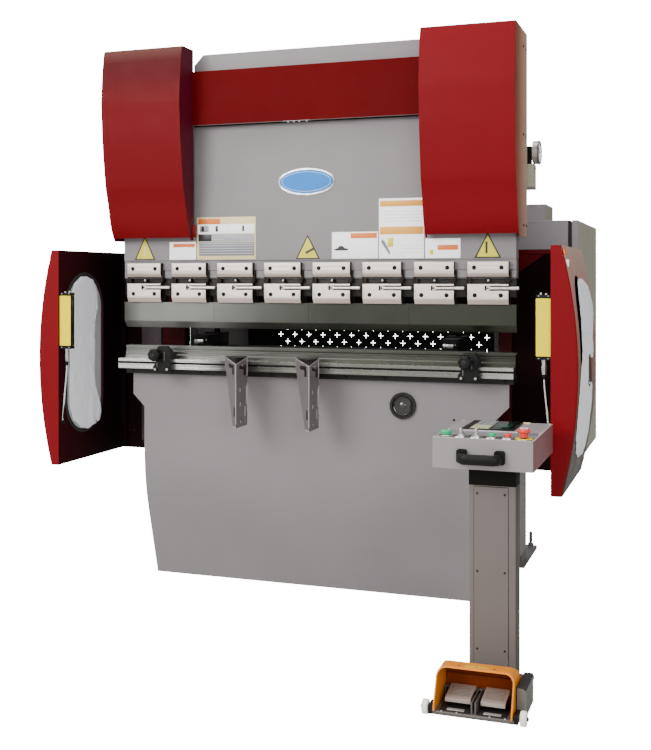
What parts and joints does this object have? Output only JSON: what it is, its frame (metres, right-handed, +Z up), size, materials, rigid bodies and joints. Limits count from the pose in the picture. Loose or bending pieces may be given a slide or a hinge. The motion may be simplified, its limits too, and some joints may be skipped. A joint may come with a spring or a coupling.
{
  "type": "hydraulic press brake",
  "caption": "Small hydraulic press brake for bending sheet metal, with ram, clamps, die, side guards, back gauge, control box and foot switch.",
  "frame": {"origin": "on the floor, midway between the uprights, under the front plane of the punch clamps", "axes": "+X to the operator's right, +Y from the operator to the rear, +Z up"},
  "size_m": [2.096, 2.095, 2.161],
  "materials": {
    "grey_paint": "satin paint, light grey",
    "red_paint": "gloss paint, deep red",
    "nickel": "nickel plated, satin",
    "tool_steel": "ground tool steel",
    "rail_steel": "machined, bright",
    "dark_steel": "black oxide",
    "chromed": "hard chrome",
    "black_plastic": "moulded",
    "yellow_paint": "gloss",
    "clear_pane": "clear sheet with a protective film",
    "orange_plastic": "moulded",
    "pedal_grey": "cast, painted",
    "white_plastic": "moulded",
    "green_cap": "moulded",
    "red_cap": "moulded",
    "beige_paint": "satin"
  },
  "bodies": {
    "frame": {"side_frames": "grey_paint", "cross_beams": "grey_paint", "oil_tank": "grey_paint", "frame_feet": "dark_steel", "bed_apron": "grey_paint", "bed_beam": "dark_steel", "bed_port": "dark_steel", "die": "tool_steel", "support_rail": "rail_steel", "cylinders": "dark_steel", "cylinder_cover_right": "red_paint", "cylinder_cover_left": "red_paint", "cross_cover": "red_paint", "guard_mounts": "red_paint", "electrical_cabinet": "grey_paint", "pressure_gauge": "beige_paint", "rear_guard": "dark_steel", "pedestal": "grey_paint", "control_box": "grey_paint", "box_handle": "black_plastic"},
    "ram": {"ram_plate": "grey_paint", "clamp_bar": "grey_paint", "piston_rods": "chromed", "clamp_bodies": "tool_steel", "clamp_plates": "nickel", "clamp_screws": "dark_steel", "punch": "tool_steel"},
    "lever_1": {"clamp_lever_1": "nickel"},
    "lever_2": {"clamp_lever_2": "nickel"},
    "lever_3": {"clamp_lever_3": "nickel"},
    "lever_4": {"clamp_lever_4": "nickel"},
    "lever_5": {"clamp_lever_5": "nickel"},
    "lever_6": {"clamp_lever_6": "nickel"},
    "lever_7": {"clamp_lever_7": "nickel"},
    "lever_8": {"clamp_lever_8": "nickel"},
    "guard_left_body": {"guard_left": "red_paint", "window_left": "clear_pane", "light_curtain_left": "yellow_paint"},
    "finger_left": {"gauge_finger_left": "dark_steel"},
    "arm_left": {"support_arm_left": "grey_paint"},
    "stop_left": {"rail_stop_left": "black_plastic"},
    "pedal_left": {"foot_pedal_left": "pedal_grey"},
    "guard_right_body": {"guard_right": "red_paint", "window_right": "clear_pane", "light_curtain_right": "yellow_paint"},
    "finger_right": {"gauge_finger_right": "dark_steel"},
    "arm_right": {"support_arm_right": "grey_paint"},
    "stop_right": {"rail_stop_right": "black_plastic"},
    "pedal_right": {"foot_pedal_right": "pedal_grey"},
    "door": {"cabinet_door": "grey_paint"},
    "gauge": {"gauge_beam": "dark_steel"},
    "button_start_body": {"button_start": "green_cap"},
    "button_up_body": {"button_up": "green_cap"},
    "button_off_body": {"button_off": "red_cap"},
    "selector_mode_body": {"selector_mode": "nickel"},
    "selector_tool_body": {"selector_tool": "nickel"},
    "emergency_stop_body": {"emergency_stop": "red_cap"},
    "foot_unit": {"foot_base": "pedal_grey", "foot_hood": "orange_plastic"},
    "castors": {"castor_wheels": "white_plastic"}
  },
  "joints": [
    {"name": "ram_stroke", "type": "slide", "parent": "frame", "child": "ram", "axis": [0, 0, -1], "range_m": [0, 0.07]},
    {"name": "lever_1_swing", "type": "hinge", "parent": "ram", "child": "lever_1", "pos_m": [-0.7, 0.009, 1.22], "axis": [0, 0, -1], "range_deg": [0, 90]},
    {"name": "lever_2_swing", "type": "hinge", "parent": "ram", "child": "lever_2", "pos_m": [-0.5, 0.009, 1.22], "axis": [0, 0, -1], "range_deg": [0, 90]},
    {"name": "lever_3_swing", "type": "hinge", "parent": "ram", "child": "lever_3", "pos_m": [-0.3, 0.009, 1.22], "axis": [0, 0, -1], "range_deg": [0, 90]},
    {"name": "lever_4_swing", "type": "hinge", "parent": "ram", "child": "lever_4", "pos_m": [-0.1, 0.009, 1.22], "axis": [0, 0, -1], "range_deg": [0, 90]},
    {"name": "lever_5_swing", "type": "hinge", "parent": "ram", "child": "lever_5", "pos_m": [0.1, 0.009, 1.22], "axis": [0, 0, -1], "range_deg": [0, 90]},
    {"name": "lever_6_swing", "type": "hinge", "parent": "ram", "child": "lever_6", "pos_m": [0.3, 0.009, 1.22], "axis": [0, 0, -1], "range_deg": [0, 90]},
    {"name": "lever_7_swing", "type": "hinge", "parent": "ram", "child": "lever_7", "pos_m": [0.5, 0.009, 1.22], "axis": [0, 0, -1], "range_deg": [0, 90]},
    {"name": "lever_8_swing", "type": "hinge", "parent": "ram", "child": "lever_8", "pos_m": [0.7, 0.009, 1.22], "axis": [0, 0, -1], "range_deg": [0, 90]},
    {"name": "guard_left_swing", "type": "hinge", "parent": "frame", "child": "guard_left_body", "pos_m": [-0.99, 0.375, 0.94], "axis": [0, 0, -1], "range_deg": [0, 90]},
    {"name": "guard_right_swing", "type": "hinge", "parent": "frame", "child": "guard_right_body", "pos_m": [0.99, 0.375, 0.94], "axis": [0, 0, 1], "range_deg": [0, 90]},
    {"name": "cabinet_door_swing", "type": "hinge", "parent": "frame", "child": "door", "pos_m": [0.955, 1.179, 1], "axis": [0, 0, 1], "range_deg": [0, 110]},
    {"name": "gauge_depth", "type": "slide", "parent": "frame", "child": "gauge", "axis": [0, 1, 0], "range_m": [-0.1, 0.35]},
    {"name": "finger_left_shift", "type": "slide", "parent": "gauge", "child": "finger_left", "axis": [1, 0, 0], "range_m": [-0.015, 0.45]},
    {"name": "finger_right_shift", "type": "slide", "parent": "gauge", "child": "finger_right", "axis": [1, 0, 0], "range_m": [-0.45, 0.1]},
    {"name": "arm_left_shift", "type": "slide", "parent": "frame", "child": "arm_left", "axis": [1, 0, 0], "range_m": [-0.16, 0.09]},
    {"name": "arm_right_shift", "type": "slide", "parent": "frame", "child": "arm_right", "axis": [1, 0, 0], "range_m": [-0.09, 0.5]},
    {"name": "stop_left_shift", "type": "slide", "parent": "frame", "child": "stop_left", "axis": [1, 0, 0], "range_m": [-0.12, 0.05]},
    {"name": "stop_right_shift", "type": "slide", "parent": "frame", "child": "stop_right", "axis": [1, 0, 0], "range_m": [0, 0.11]},
    {"name": "button_start_press", "type": "slide", "parent": "frame", "child": "button_start_body", "axis": [0, 0, -1], "range_m": [0, 0.004], "stiffness_N_per_m": 1200, "springref_m": -0.0005},
    {"name": "button_up_press", "type": "slide", "parent": "frame", "child": "button_up_body", "axis": [0, 0, -1], "range_m": [0, 0.004], "stiffness_N_per_m": 1200, "springref_m": -0.0005},
    {"name": "button_off_press", "type": "slide", "parent": "frame", "child": "button_off_body", "axis": [0, 0, -1], "range_m": [0, 0.004], "stiffness_N_per_m": 1200, "springref_m": -0.0005},
    {"name": "emergency_stop_press", "type": "slide", "parent": "frame", "child": "emergency_stop_body", "axis": [0, 0, -1], "range_m": [0, 0.004], "stiffness_N_per_m": 1200, "springref_m": -0.0005},
    {"name": "selector_mode_turn", "type": "hinge", "parent": "frame", "child": "selector_mode_body", "pos_m": [0.746, -0.662, 0.78], "axis": [0, 0, 1], "range_deg": [-45, 45]},
    {"name": "selector_tool_turn", "type": "hinge", "parent": "frame", "child": "selector_tool_body", "pos_m": [0.793, -0.662, 0.78], "axis": [0, 0, 1], "range_deg": [-45, 45]},
    {"name": "foot_unit_shift", "type": "slide", "parent": "frame", "child": "foot_unit", "axis": [0, -1, 0], "range_m": [0, 0.15]},
    {"name": "pedal_left_press", "type": "hinge", "parent": "foot_unit", "child": "pedal_left", "pos_m": [0.771, -0.76, 0.048], "axis": [1, 0, 0], "range_deg": [0, 7], "stiffness_Nm_per_rad": 15, "springref_deg": -6.88},
    {"name": "pedal_right_press", "type": "hinge", "parent": "foot_unit", "child": "pedal_right", "pos_m": [0.882, -0.76, 0.048], "axis": [1, 0, 0], "range_deg": [0, 7], "stiffness_Nm_per_rad": 15, "springref_deg": -6.88},
    {"name": "castors_roll", "type": "hinge", "parent": "foot_unit", "child": "castors", "pos_m": [0.827, -0.866, 0.0215], "axis": [1, 0, 0], "continuous": true}
  ]
}
